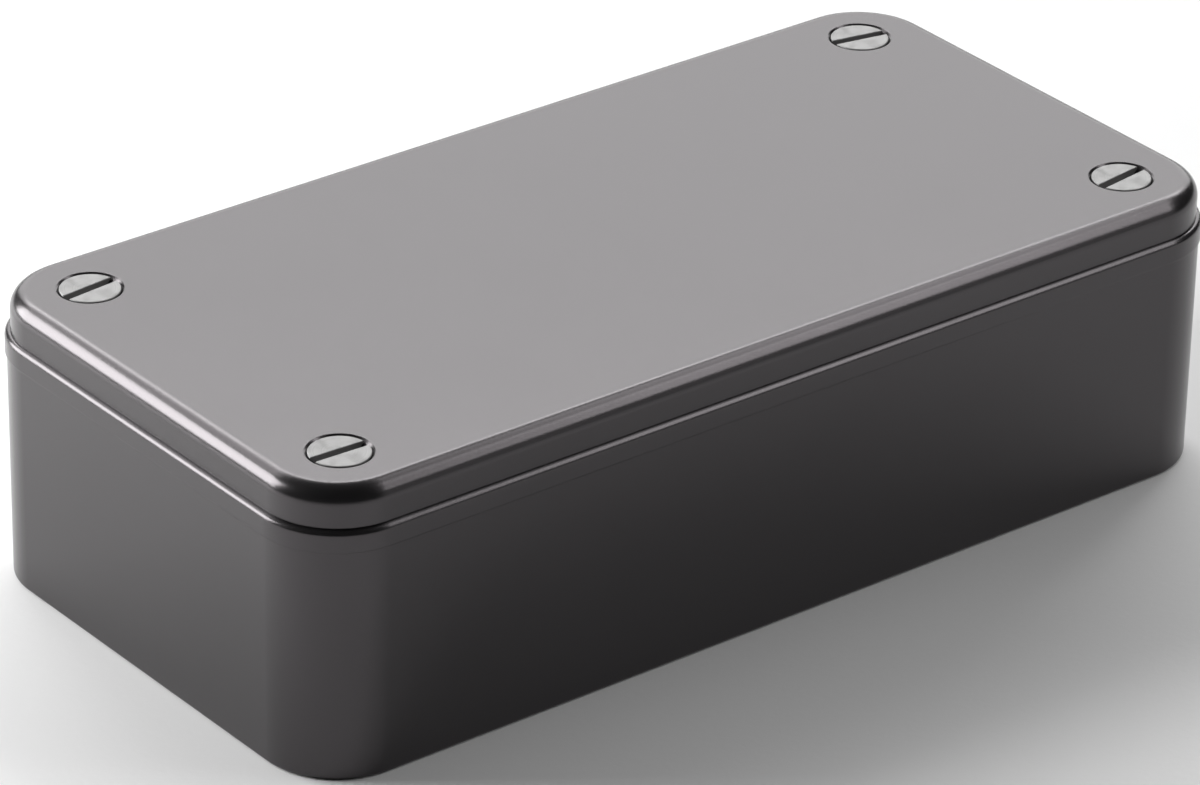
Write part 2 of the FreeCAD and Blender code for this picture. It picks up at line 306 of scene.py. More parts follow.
def blocks(spans: Iterable[tuple[Point, Point]]) -> bpy.types.Mesh:
    """Makes blocks that don't touch as one mesh.

    Args:
        spans: The lowest and the highest corner of each block.

    Returns:
        The mesh.
    """
    return gathered((block(low, high), (0.0, 0.0)) for low, high in spans)


def at_posts(mesh: bpy.types.Mesh, sizes: BoxSizes) -> bpy.types.Mesh:
    """Repeats a mesh at the four posts.

    Args:
        mesh: The mesh, round the Z axis.
        sizes: The sizes of the box.

    Returns:
        One mesh with the four copies.
    """
    return gathered((mesh, corner.at(sizes.post_x, sizes.post_y)) for corner in Corner)


def combined(mesh: bpy.types.Mesh, tool: bpy.types.Mesh, cut: Cut) -> bpy.types.Mesh:
    """Joins a tool to a mesh, or cuts the mesh with it.

    Args:
        mesh: The mesh to work on.
        tool: The mesh that is joined or removed.
        cut: Which of the two is done.

    Returns:
        The result, under the name of the first mesh.
    """
    name = mesh.name
    work, helper = (bpy.data.objects.new("work", m) for m in (mesh, tool))
    for thing in (work, helper):
        bpy.context.scene.collection.objects.link(thing)
    step = work.modifiers.new("cut", "BOOLEAN")
    step.operation = cut.value
    step.solver = "EXACT"
    step.object = helper
    bpy.context.view_layer.update()
    solved = work.evaluated_get(bpy.context.evaluated_depsgraph_get())
    shaped = bpy.data.meshes.new_from_object(solved)
    for thing in (work, helper):
        bpy.data.objects.remove(thing)
    bpy.data.meshes.remove(mesh)
    bpy.data.meshes.remove(tool)
    shaped.name = name
    return shaped


def wave(turn: float, flat: float = 0.12) -> float:
    """Draws a triangle wave with flat crests and roots.

    Args:
        turn: Place along the wave, in periods, with a crest at 0.
        flat: Share of the height that each flat cuts off.

    Returns:
        The height there, from 0 to 1.
    """
    phase = abs((turn % 1.0) * 2.0 - 1.0)
    return min(max((phase - flat) / (1.0 - 2 * flat), 0.0), 1.0)


def towards(azimuth: float, elevation: float) -> Vector:
    """Gives a direction as seen from the box.

    Args:
        azimuth: Degrees from the front, counterclockwise from above.
        elevation: Degrees above level.

    Returns:
        The direction, one long.
    """
    a, e = math.radians(azimuth), math.radians(elevation)
    return Vector((math.sin(a) * math.cos(e), -math.cos(a) * math.cos(e), math.sin(e)))


def stand_piece(mesh: bpy.types.Mesh, finish: "Finish", body: str, node: str) -> bpy.types.Object:
    """Puts a finished mesh in the place of a node.

    Args:
        mesh: The mesh, in place.
        finish: Its finish.
        body: The body that it moves with.
        node: The node that it stands for.

    Returns:
        The new object.
    """
    mesh.materials.clear()
    mesh.materials.append(finish.material())
    mesh.shade_smooth()
    mesh.set_sharp_from_angle(angle=math.radians(SHARP_TURN))
    piece = bpy.data.objects.new(f"{node}_dressed", mesh)
    bpy.context.scene.collection.objects.link(piece)
    shading = piece.modifiers.new("even_shading", "WEIGHTED_NORMAL")
    shading.keep_sharp = True
    shading.weight = FACE_PULL
    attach(piece, body)
    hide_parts(node)
    LOG.info("%s: %d faces in %s", piece.name, len(mesh.polygons), finish.slot)
    return piece


# Finishes


class NodeSketch:
    """Adds nodes to a node tree and wires them."""

    # Moves the point at which every layer of a noise is even away from the piece
    noise_shift = (0.031, 0.017, 0.023)

    def __init__(self, tree: bpy.types.NodeTree) -> None:
        """Takes the tree to draw in."""
        self.tree = tree

    def feed(self, node: bpy.types.Node, values: Values) -> None:
        """Sets a node's inputs or wires sources to them.

        Args:
            node: The node.
            values: Value or source socket of each input, by name or number.
        """
        for name, value in values.items():
            if isinstance(value, bpy.types.NodeSocket):
                self.tree.links.new(value, node.inputs[name])
            else:
                node.inputs[name].default_value = value

    def add(self, kind: str, values: Values | None = None, **settings: Any) -> bpy.types.Node:
        """Adds a node.

        Args:
            kind: The node's type, without its ShaderNode prefix.
            values: Value or source socket of each input, by name or number.
            **settings: The node's own settings.

        Returns:
            The new node.
        """
        full_kind = kind if kind.startswith("Node") else f"ShaderNode{kind}"
        node = self.tree.nodes.new(full_kind)
        for name, value in settings.items():
            setattr(node, name, value)
        self.feed(node, values or {})
        return node

    def math(self, operation: str, first: Any, second: Any = 0.0) -> bpy.types.NodeSocket:
        """Adds a sum of two values and returns its result."""
        return self.add("Math", {0: first, 1: second}, operation=operation).outputs[0]

    def noise(self, place: Any, scale: Any, detail: float, rough: float = 0.5) -> Any:
        """Adds three-dimensional noise, with its even centre moved off the piece.

        Args:
            place: The position that it varies over.
            scale: Features per metre.
            detail: Number of finer layers.
            rough: Strength of the finer layers.

        Returns:
            The socket with its value.
        """
        moved = self.add("VectorMath", {0: place, 1: self.noise_shift}, operation="ADD")
        values = {"Vector": moved.outputs[0], "Scale": scale, "Detail": detail, "Roughness": rough}
        return self.add("TexNoise", values).outputs[0]

    def span(self, value: Any, low: float, high: float, to_low: float, to_high: float) -> Any:
        """Maps one range of values to another.

        Args:
            value: The value to map.
            low: Value that gives to_low.
            high: Value that gives to_high.
            to_low: First end of the result.
            to_high: Other end of the result.

        Returns:
            The socket with the result.
        """
        return self.add("MapRange", {0: value, 1: low, 2: high, 3: to_low, 4: to_high}).outputs[0]

    def blend(self, share: Any, first: Any, second: Any) -> bpy.types.NodeSocket:
        """Blends two colours.

        Args:
            share: Share of the second colour.
            first: First colour or its socket.
            second: Second colour or its socket.

        Returns:
            The socket with the blend.
        """
        return self.add("Mix", {0: share, 6: first, 7: second}, data_type="RGBA").outputs[2]


class Effect:
    """A node group that several materials share, built the first time that one asks for it."""

    name = "effect"
    takes: dict[str, tuple[str, Any]] = {}
    gives: tuple[str, ...] = ()

    def draw(self, sketch: NodeSketch, given: Any) -> dict[str, Any]:
        """Draws the group.

        Args:
            sketch: The group's own sketch.
            given: The outputs of the group's input node.

        Returns:
            The source of each output, by its name.
        """
        raise NotImplementedError

    def group(self) -> bpy.types.NodeTree:
        """Returns the group, and builds it where it isn't there yet."""
        if self.name in bpy.data.node_groups:
            return bpy.data.node_groups[self.name]
        tree = bpy.data.node_groups.new(self.name, "ShaderNodeTree")
        for socket, (kind, value) in self.takes.items():
            item = tree.interface.new_socket(
                socket, in_out="INPUT", socket_type=f"NodeSocket{kind}")
            if value is not None:
                item.default_value = value
        for socket in self.gives:
            tree.interface.new_socket(socket, in_out="OUTPUT", socket_type="NodeSocketFloat")
        sketch = NodeSketch(tree)
        given = sketch.add("NodeGroupInput").outputs
        sketch.add("NodeGroupOutput", self.draw(sketch, given))
        return tree

    def place(self, sketch: NodeSketch, values: Values) -> Any:
        """Places the group in a material.

        Args:
            sketch: The material's sketch.
            values: Value or source of each of the group's inputs.

        Returns:
            The outputs of the placed group.
        """
        return sketch.add("Group", values, node_tree=self.group()).outputs


class MouldGrain(Effect):
    """The fine spark-eroded grain of a moulding and the slow flow marks under it."""

    name = "mould_grain"
    takes = {
        "Place": ("Vector", None),
        "Grain Scale": ("Float", 3600.0),
        "Flow Scale": ("Float", 90.0),
    }
    gives = ("Height", "Flow")
    flow_share = 1.5

    def draw(self, sketch: NodeSketch, given: Any) -> dict[str, Any]:
        """Draws grain over flow marks."""
        grain = sketch.noise(given["Place"], given["Grain Scale"], 3.0, 0.6)
        flow = sketch.noise(given["Place"], given["Flow Scale"], 2.0)
        height = sketch.math("ADD", grain, sketch.math("MULTIPLY", flow, self.flow_share))
        return {"Height": height, "Flow": flow}


class EdgeWearAndSheen(Effect):
    """Where edges are rubbed, and where the plastic's edges get a painted sheen: the share by which
    a softened edge turns from its face.
    """

    name = "edge_wear_and_sheen"
    takes = {"Place": ("Vector", None), "Reach": ("Float", 0.0002)}
    gives = ("Mask",)
    patch_scale = 700.0
    patch_range = (0.35, 0.65)
    patch_floor = 0.25
    turn_range = (0.995, 0.86)

    def draw(self, sketch: NodeSketch, given: Any) -> dict[str, Any]:
        """Compares the softened normal with the plain one and breaks the result up."""
        soft = sketch.add("Bevel", {"Radius": given["Reach"]}, samples=6).outputs[0]
        plain = sketch.add("NewGeometry").outputs["Normal"]
        along = sketch.add("VectorMath", {0: soft, 1: plain}, operation="DOT_PRODUCT")
        edge = sketch.span(along.outputs["Value"], *self.turn_range, 0.0, 1.0)
        patches = sketch.noise(given["Place"], self.patch_scale, 3.0)
        patchy = sketch.span(patches, *self.patch_range, self.patch_floor, 1.0)
        return {"Mask": sketch.math("MULTIPLY", edge, patchy)}


class HandlingMarks(Effect):
    """The faint dull patches that fingers leave."""

    name = "handling_marks"
    takes = {"Place": ("Vector", None), "Scale": ("Float", 110.0)}
    gives = ("Mask",)
    patch_range = (0.46, 0.7)

    def draw(self, sketch: NodeSketch, given: Any) -> dict[str, Any]:
        """Draws soft patches with a finer edge."""
        patches = sketch.noise(given["Place"], given["Scale"], 4.0, 0.62)
        return {"Mask": sketch.span(patches, *self.patch_range, 0.0, 1.0)}


class TurnedMarks(Effect):
    """The rings that a turning tool leaves round the piece's own Z axis."""

    name = "turned_marks"
    takes = {"Place": ("Vector", None), "Ring Scale": ("Float", 9000.0)}
    gives = ("Height", "Streak")
    streak_range = (0.35, 0.65)

    def draw(self, sketch: NodeSketch, given: Any) -> dict[str, Any]:
        """Lays noise along the distance from the axis and the height."""
        parts = sketch.add("SeparateXYZ", {0: given["Place"]}).outputs
        flat = sketch.add("CombineXYZ", {0: parts[0], 1: parts[1]}).outputs[0]
        distance = sketch.add("VectorMath", {0: flat}, operation="LENGTH").outputs["Value"]
        along = sketch.add("CombineXYZ", {0: distance, 1: parts[2]}).outputs[0]
        rings = sketch.noise(along, given["Ring Scale"], 2.0)
        return {"Height": rings, "Streak": sketch.span(rings, *self.streak_range, 0.0, 1.0)}


@dataclass(frozen=True)
class Finish:
    """A surface finish, kept as one material."""

    slot: str
    colour: tuple[float, float, float]
    roughness: float

    def paint(self, sketch: NodeSketch, shader: bpy.types.Node, place: Any) -> None:
        """Wires the finish's own nodes.

        Args:
            sketch: The material's sketch.
            shader: The material's Principled shader.
            place: The position on the piece.
        """
        raise NotImplementedError

    def shade(self, amount: float) -> tuple[float, float, float, float]:
        """Returns the finish's colour, made lighter or darker."""
        return (*(min(c * amount, 1.0) for c in self.colour), 1.0)

    def material(self) -> bpy.types.Material:
        """Returns the finish's material, and makes it where it isn't there yet."""
        name = f"{self.slot}_finish"
        if name in bpy.data.materials:
            return bpy.data.materials[name]
        material = bpy.data.materials.new(name)
        material.use_nodes = True
        material.node_tree.nodes.clear()
        sketch = NodeSketch(material.node_tree)
        values = {"Base Color": self.shade(1.0), "Roughness": self.roughness}
        shader = sketch.add("BsdfPrincipled", values)
        sketch.add("OutputMaterial", {"Surface": shader.outputs[0]})
        self.paint(sketch, shader, sketch.add("TexCoord").outputs["Object"])
        return material


@dataclass(frozen=True)
class MouldedPlastic(Finish):
    """Satin moulded plastic with a fine grain, faint marks, slightly polished edges and a painted
    sheen that lightens them.
    """

    ior: float = 1.7
    gloss_tint: tuple[float, float, float, float] = (1.0, 0.93, 0.97, 1.0)
    grain_depth: float = 0.000004
    edge_reach: float = 0.00012
    # How much lighter the edges' colour is: a painted sheen along the edges.
    edge_lift: float = 1.7
    edge_polish: float = 0.05
    flow_range: tuple[float, float] = (0.3, 0.7)
    flow_tint: tuple[float, float] = (0.85, 1.15)
    flow_dulling: tuple[float, float] = (-0.008, 0.008)
    mark_dulling: tuple[float, float] = (-0.006, 0.01)

    def paint(self, sketch: NodeSketch, shader: bpy.types.Node, place: Any) -> None:
        """Wires grain, flow marks, handling marks, polished edges and the painted sheen that
        lightens the edges.
        """
        grain = MouldGrain().place(sketch, {"Place": place})
        marks = HandlingMarks().place(sketch, {"Place": place})["Mask"]
        edges = EdgeWearAndSheen().place(sketch, {"Place": place, "Reach": self.edge_reach})["Mask"]
        body = sketch.blend(grain["Flow"], *(self.shade(tint) for tint in self.flow_tint))
        dulled = sketch.span(marks, 0.0, 1.0, *self.mark_dulling)
        flowing = sketch.span(grain["Flow"], *self.flow_range, *self.flow_dulling)
        rough = sketch.math("ADD", sketch.math("ADD", dulled, self.roughness), flowing)
        polish = sketch.math("MULTIPLY", edges, self.edge_polish)
        soft = sketch.add("Bevel", {"Radius": self.edge_reach}, samples=6).outputs[0]
        height = {"Distance": self.grain_depth, "Height": grain["Height"], "Normal": soft}
        sketch.feed(shader, {
            "IOR": self.ior,
            "Specular Tint": self.gloss_tint,
            # The edges' colour is lifted by edge_lift: a painted sheen along the edges.
            "Base Color": sketch.blend(edges, body, self.shade(self.edge_lift)),
            "Roughness": sketch.math("SUBTRACT", rough, polish),
            "Normal": sketch.add("Bump", height).outputs[0],
        })


@dataclass(frozen=True)
class TurnedMetal(Finish):
    """Turned metal with tool marks and painted shade in its recesses."""

    ring_depth: float = 0.000006
    ring_tint: tuple[float, float] = (0.9, 1.05)
    # Colour factor in the recesses: painted shade.
    recess_shade: float = 0.35
    recess_reach: float = 0.0008
    recess_range: tuple[float, float] = (0.2, 0.8)
    recess_share: float = 0.7
    edge_reach: float = 0.00008
    edge_lift: float = 1.2
    edge_share: float = 0.6
    edge_softness: float = 0.00005
    mark_scale: float = 900.0
    mark_dulling: tuple[float, float] = (-0.03, 0.1)

    def paint(self, sketch: NodeSketch, shader: bpy.types.Node, place: Any) -> None:
        """Wires tool marks, painted shade in the recesses and brighter rubbed edges."""
        turning = TurnedMarks().place(sketch, {"Place": place})
        edges = EdgeWearAndSheen().place(sketch, {"Place": place, "Reach": self.edge_reach})["Mask"]
        marks = HandlingMarks().place(sketch, {"Place": place, "Scale": self.mark_scale})["Mask"]
        # Darkens the colour where ambient occlusion finds the surface shut in: painted shade in the
        # recesses.
        reach = {"Distance": self.recess_reach}
        open_to_light = sketch.add("AmbientOcclusion", reach, samples=8).outputs["AO"]
        recess_shade_mask = sketch.span(open_to_light, *self.recess_range, self.recess_share, 0.0)
        body = sketch.blend(turning["Streak"], *(self.shade(tint) for tint in self.ring_tint))
        recess_shaded = sketch.blend(recess_shade_mask, body, self.shade(self.recess_shade))
        rubbed = sketch.math("MULTIPLY", edges, self.edge_share)
        dulled = sketch.span(marks, 0.0, 1.0, *self.mark_dulling)
        soft = sketch.add("Bevel", {"Radius": self.edge_softness}, samples=4).outputs[0]
        height = {"Distance": self.ring_depth, "Height": turning["Height"], "Normal": soft}
        sketch.feed(shader, {
            "Metallic": 1.0,
            "Base Color": sketch.blend(rubbed, recess_shaded, self.shade(self.edge_lift)),
            "Roughness": sketch.math("ADD", dulled, self.roughness),
            "Normal": sketch.add("Bump", height).outputs[0],
        })


@dataclass(frozen=True)
class StudioPaper(Finish):
    """Matte paper with a barely visible tooth."""

    tooth_depth: float = 0.00002
    tooth_scale: float = 1500.0

    def paint(self, sketch: NodeSketch, shader: bpy.types.Node, place: Any) -> None:
        """Wires the paper's tooth."""
        tooth = sketch.noise(place, self.tooth_scale, 3.0)
        bump = sketch.add("Bump", {"Distance": self.tooth_depth, "Height": tooth})
        sketch.feed(shader, {"Normal": bump.outputs[0]})


BLACK_PLASTIC = MouldedPlastic("black_plastic", (0.012, 0.0117, 0.012), 0.24)
# The plated steel gets only a faint painted shade in its recesses.
PLATED_STEEL = TurnedMetal("plated_steel", (0.32, 0.318, 0.316), 0.6, recess_shade=0.9)
INSERT_BRASS = TurnedMetal("insert_brass", (0.78, 0.6, 0.3), 0.28)


# Sub-assemblies


@dataclass
class Tray:
    """The tray: one moulding with a banded rim, webbed posts and slots for boards."""

    sizes: BoxSizes
    floor: float = 2.0
    floor_round: float = 1.2
    foot_round: float = 0.4
    band: float = 2.0
    band_edge: float = 0.05
    rim_round: float = 0.5
    mouth_edge: float = 0.12
    post_edge: float = 0.15
    web: float = 1.2
    web_drop: float = 1.0
    seat_radius: float = 2.32
    seat_depth: float = 6.0
    seat_bevel: float = 0.15
    seat_overshoot: float = 0.25
    relief_radius: float = 1.8
    board_slot: float = 1.8
    slot_pitch: float = 10.0
    slots_long: int = 3
    slots_short: int = 1
    rib: float = 1.0
    rib_proud: float = 1.5
    rib_drop: float = 2.4

    def walls(self) -> bpy.types.Mesh:
        """Sweeps the walls, the band round the rim, the rim itself and the floor."""
        s, seam = self.sizes, self.sizes.seam
        foot = s.band_proud + s.lean(seam)
        under_band = seam - self.band
        toe = s.cavity_inset + s.lean(seam - self.floor - self.floor_round)
        foot_r, edge_r, rim_r = self.foot_round, self.band_edge, self.rim_round
        mouth_r, floor_r = self.mouth_edge, self.floor_round
        profile = arc(foot + foot_r, foot_r, foot_r, 270, 184, 6)
        profile += [(s.band_proud + s.lean(seam - under_band), under_band)]
        profile += arc(edge_r, under_band + edge_r, edge_r, 270, 180, 3)
        profile += arc(rim_r, seam - rim_r, rim_r, 180, 90, 6)
        profile += arc(s.cavity_inset - mouth_r, seam - mouth_r, mouth_r, 90, 0, 4)
        profile += arc(toe + floor_r, self.floor + floor_r, floor_r, 180, 270, 8)
        return swept("tray", s, profile)

    def posts(self) -> bpy.types.Mesh:
        """Makes the four posts, in place."""
        s, edge = self.sizes, self.post_edge
        top_edge = arc(s.post_radius - edge, s.post_top - edge, edge, 0, 90, 4)
        return at_posts(turned("post", [(s.post_radius, OVERLAP), *top_edge], POST_STEPS), s)

    def webs(self, towards_end: bool) -> bpy.types.Mesh:
        """Makes the four webs that join the posts to one pair of walls.

        Args:
            towards_end: Whether they run to the short walls, and not the long ones.

        Returns:
            The webs, in place.
        """
        s, half = self.sizes, self.web / 2
        top = s.post_top - self.web_drop
        wall_x = s.length / 2 - s.cavity_inset + OVERLAP
        wall_y = s.width / 2 - s.cavity_inset + OVERLAP
        made = []
        for corner in Corner:
            x, y = corner.at(s.post_x, s.post_y)
            far_x, far_y = corner.at(wall_x, wall_y)
            if towards_end:
                low, high = (min(x, far_x), y - half), (max(x, far_x), y + half)
            else:
                low, high = (x - half, min(y, far_y)), (x + half, max(y, far_y))
            made.append(((*low, OVERLAP), (*high, top)))
        return blocks(made)

    def ribs(self) -> bpy.types.Mesh:
        """Makes all the ribs that line the walls in pairs, in place."""
        s = self.sizes
        top = s.seam - self.rib_drop
        made = []
        for along_x, count, wall in (
                (True, self.slots_long, s.width / 2), (False, self.slots_short, s.length / 2)):
            face = wall - s.cavity_inset
            for step, side, wall_side in product(range(-count, count + 1), (-1, 1), (-1, 1)):
                middle = step * self.slot_pitch + side * (self.board_slot + self.rib) / 2
                reach = (middle - self.rib / 2, middle + self.rib / 2)
                depth = sorted((wall_side * (face - self.rib_proud), wall_side * (face + OVERLAP)))
                x, y = (reach, depth) if along_x else (depth, reach)
                made.append(((x[0], y[0], OVERLAP), (x[1], y[1], top)))
        return blocks(made)

    def bores(self) -> bpy.types.Mesh:
        """Makes the cutters for the insert seats and the reliefs under them."""
        s = self.sizes
        seat = s.post_top - self.seat_depth
        mouth = self.seat_radius + (self.seat_bevel + self.seat_overshoot)
        profile = [(self.relief_radius, self.floor + s.wall), (self.relief_radius, seat)]
        profile += [(self.seat_radius, seat), (self.seat_radius, s.post_top - self.seat_bevel)]
        profile += [(mouth, s.post_top + self.seat_overshoot)]
        return at_posts(turned("bore", profile, BORE_STEPS), s)

    def build(self) -> bpy.types.Object:
        """Builds and dresses the tray.

        Returns:
            The tray.
        """
        mesh = self.walls()
        for tool in (self.posts(), self.webs(True), self.webs(False), self.ribs()):
            mesh = combined(mesh, tool, Cut.JOIN)
        mesh = combined(mesh, self.bores(), Cut.REMOVE)
        return stand_piece(mesh, BLACK_PLASTIC, "tray", "base_shell")


@dataclass
class Lid:
    """The lid: a hollow plate with a round top edge, a locating lip, bosses and screw holes."""

    sizes: BoxSizes
    inset: float = 0.5
    plate: float = 2.0
    skirt: float = 2.0
    edge_round: float = 1.6
    foot_round: float = 0.03
    foot_edge: float = 0.12
    ceiling_round: float = 0.3
    boss_edge: float = 0.1
    lip_depth: float = 1.6
    lip: float = 1.2
    lip_clearance: float = 0.15
    post_clearance: float = 0.5
    hole_radius: float = 1.75
    hole_bevel: float = 0.1
    countersink_radius: float = 2.95
    mouth_depth: float = 0.04
    mouth_flare: float = 0.06
    mouth_overshoot: float = 0.02

    def plate_and_skirt(self) -> bpy.types.Mesh:
        """Sweeps the plate, its round edge and the skirt that rests on the tray's rim."""
        s, seam, underside = self.sizes, self.sizes.seam, self.sizes.height - self.plate
        inner, outer = self.inset + self.skirt, self.inset
        ceiling_r, edge_r = self.ceiling_round, self.foot_edge
        foot_r, top_r = self.foot_round, self.edge_round
        profile = arc(inner + ceiling_r, underside - ceiling_r, ceiling_r, 90, 180, 5)
        profile += arc(inner - edge_r, seam + edge_r, edge_r, 360, 270, 4)
        profile += arc(outer + foot_r, seam + foot_r, foot_r, 270, 180, 6)
        profile += arc(outer + top_r, s.height - top_r, top_r, 180, 90, 20)
        return swept("lid", s, profile)

    def bosses(self) -> bpy.types.Mesh:
        """Makes the bosses that meet the tray's posts, in place."""
        s, edge = self.sizes, self.boss_edge
        foot = arc(s.post_radius - edge, s.seam + edge, edge, 270, 360, 3)
        top = (s.post_radius, s.height - OVERLAP)
        return at_posts(turned("boss", [*foot, top], POST_STEPS), s)

    def lips(self) -> bpy.types.Mesh:
        """Makes the four runs of the lip that drops inside the tray, in place."""
        s = self.sizes
        room = s.post_radius + self.post_clearance
        half_long, half_short = s.post_x - room, s.post_y - room
        out_x = s.length / 2 - s.cavity_inset - self.lip_clearance
        out_y = s.width / 2 - s.cavity_inset - self.lip_clearance
        low, high = s.seam - self.lip_depth, s.height - OVERLAP
        made = []
        for side in (-1, 1):
            near, far = sorted((side * out_y, side * (out_y - self.lip)))
            made.append(((-half_long, near, low), (half_long, far, high)))
            near, far = sorted((side * out_x, side * (out_x - self.lip)))
            made.append(((near, -half_short, low), (far, half_short, high)))
        return blocks(made)

    def holes(self) -> bpy.types.Mesh:
        """Makes the cutters for the screw holes and their countersinks."""
        s, hole, bevel, depth = self.sizes, self.hole_radius, self.hole_bevel, self.mouth_depth
        sink = s.height - (self.countersink_radius - hole)
        mouth = self.countersink_radius + self.mouth_flare
        profile = [(hole + bevel, s.seam - bevel), (hole, s.seam + bevel), (hole, sink)]
        profile += [(self.countersink_radius - depth, s.height - depth)]
        profile += [(mouth, s.height + self.mouth_overshoot), (mouth, s.height + OVERLAP)]
        return at_posts(turned("hole", profile, HOLE_STEPS), s)

    def build(self) -> bpy.types.Object:
        """Builds and dresses the lid.

        Returns:
            The lid.
        """
        mesh = combined(self.plate_and_skirt(), self.bosses(), Cut.JOIN)
        mesh = combined(mesh, self.lips(), Cut.JOIN)
        mesh = combined(mesh, self.holes(), Cut.REMOVE)
        return stand_piece(mesh, BLACK_PLASTIC, "cover", "lid")


@dataclass
class LidScrew:
    """A slotted countersunk screw with a real thread, made with its top at its own origin."""

    sizes: BoxSizes
    corner: Corner
    radius: float = 1.5
    length: float = 10.0
    tip: float = 0.4
    head_radius: float = 2.65
    head_rim: float = 0.2
    head_edge: float = 0.1
    sink: float = 0.0293
    slot: float = 0.8
    slot_depth: float = 0.85
    slot_round: float = 0.08
    slot_flare: float = 0.07
    slot_mouth: float = 0.05
    slot_overshoot: float = 0.02
    neck: float = 0.35
    pitch: float = 0.5
    rows_a_pitch: int = 8
    thread_depth: float = 0.28
    run_out: float = 0.4
    steps: int = 48

    @property
    def cone_foot(self) -> float:
        """Returns the height at which the head's cone meets the shank."""
        return -self.head_rim - (self.head_radius - self.radius)

    def thread(self) -> list[Ring]:
        """Lays out the threaded shank, from its tip up.

        Returns:
            The shank's rings.
        """
        top = self.cone_foot - self.neck
        rows = round((self.length + top) / (self.pitch / self.rows_a_pitch))
        rings = []
        for row in range(rows + 1):
            z = -self.length + (self.length + top) * row / rows
            crest = min(self.radius, self.radius - self.tip + self.length + z)
            fade = min(1.0, (top - z) / self.run_out)

            def radius(a: float, z: float = z, crest: float = crest, fade: float = fade) -> float:
                """Returns the thread's radius at an angle."""
                cut = self.thread_depth * (1.0 - wave(z / self.pitch - a / math.tau)) * fade
                return min(crest, self.radius - cut)

            rings.append(turned_ring(radius, z, self.steps))
        return rings

    def blank(self) -> bpy.types.Mesh:
        """Makes the screw without its slot."""
        rings = self.thread()
        cone = [(self.radius, self.cone_foot), (self.head_radius, -self.head_rim)]
        cone += arc(self.head_radius - self.head_edge, -self.head_edge, self.head_edge, 0, 90, 5)
        rings += [turned_ring(lambda _, r=r: r, z, self.steps) for r, z in cone]
        return skin(f"screw_{self.corner.tag}", rings)

    def slot_cutter(self) -> bpy.types.Mesh:
        """Makes the cutter for the slot, with a slightly open mouth and round lower edges."""
        half, depth, reach = self.slot / 2, self.slot_depth, 2 * self.head_radius
        turn, rise, wide = self.slot_round, self.slot_overshoot, self.slot / 2 + self.slot_flare
        side = [(half - turn, -depth), (half - turn / 4, turn / 4 - depth), (half, turn - depth)]
        side += [(half, -self.slot_mouth), (wide, rise), (wide, OVERLAP)]
        outline = side + [(-y, z) for y, z in reversed(side)]
        return skin("slot", [[(x, y, z) for y, z in outline] for x in (-reach, reach)])

    def build(self) -> bpy.types.Object:
        """Builds and dresses the screw and stands it at its corner.

        Returns:
            The screw.
        """
        mesh = combined(self.blank(), self.slot_cutter(), Cut.REMOVE)
        tag = self.corner.tag
        piece = stand_piece(mesh, PLATED_STEEL, f"screw_{tag}", f"lid_screw_{tag}")
        x, y = self.corner.at(self.sizes.post_x, self.sizes.post_y)
        turn = Matrix.Rotation(math.radians(self.corner.slot_angle), 4, "Z")
        place = Vector((x, y, self.sizes.height - self.sink)) * MM
        piece.matrix_world = Matrix.Translation(place) @ turn
        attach(piece, f"screw_{tag}")
        return piece


@dataclass
class ThreadedInsert:
    """A knurled brass insert, made with its top at its own origin."""

    sizes: BoxSizes
    corner: Corner
    radius: float = 2.3
    length: float = 6.0
    bore: float = 1.55
    mouth: float = 0.3
    edge: float = 0.2
    groove: float = 1.0
    groove_depth: float = 0.25
    knurls: int = 24
    knurl_depth: float = 0.12
    knurl_lead: float = 30.0
    knurl_rows: int = 8
    pitch: float = 0.5
    rows_a_pitch: int = 6
    thread_depth: float = 0.22
    steps: int = 96

    def outside(self) -> list[Ring]:
        """Lays out the knurled outside, from the top down.

        Returns:
            The rings of the outside.
        """
        half, gap, last = self.length / 2, self.groove / 2, self.knurl_rows
        waist = self.radius - self.groove_depth
        rings = []
        for top, foot, hand in ((0.0, -half + gap, 1), (-half - gap, -self.length, -1)):
            band = []
            for row in range(last + 1):
                z = top + (foot - top) * row / last
                crest = self.radius - (self.edge if row in (0, last) else 0.0)

                def radius(a: float, z: float = z, crest: float = crest, hand: int = hand) -> float:
                    """Returns the knurl's radius at an angle."""
                    turn = a / math.tau + hand * z / self.knurl_lead
                    return crest - self.knurl_depth * wave(self.knurls * turn)

                band.append(turned_ring(radius, z, self.steps))
            groove_wall = turned_ring(lambda _: waist, foot if hand > 0 else top, self.steps)
            rings += [*band, groove_wall] if hand > 0 else [groove_wall, *band]
        return rings

    def inside(self) -> list[Ring]:
        """Lays out the threaded bore, from the bottom up.

        Returns:
            The rings of the bore.
        """
        rows = round(self.length / (self.pitch / self.rows_a_pitch))
        rings = []
        for row in range(rows + 1):
            z = -self.length * (1 - row / rows)
            flare = max(0.0, self.mouth + z, self.mouth - self.length - z)

            def radius(a: float, z: float = z, flare: float = flare) -> float:
                """Returns the bore's radius at an angle."""
                root = self.thread_depth * wave(z / self.pitch - a / math.tau)
                return self.bore + max(flare, root)

            rings.append(turned_ring(radius, z, self.steps))
        return rings

    def build(self) -> bpy.types.Object:
        """Builds and dresses the insert and stands it in its post.

        Returns:
            The insert.
        """
        tag = self.corner.tag
        mesh = skin(f"insert_{tag}", self.outside() + self.inside(), closed=True)
        piece = stand_piece(mesh, INSERT_BRASS, "tray", f"threaded_insert_{tag}")
        x, y = self.corner.at(self.sizes.post_x, self.sizes.post_y)
        piece.matrix_world = Matrix.Translation(Vector((x, y, self.sizes.post_top)) * MM)
        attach(piece, "tray")
        return piece


# Studio


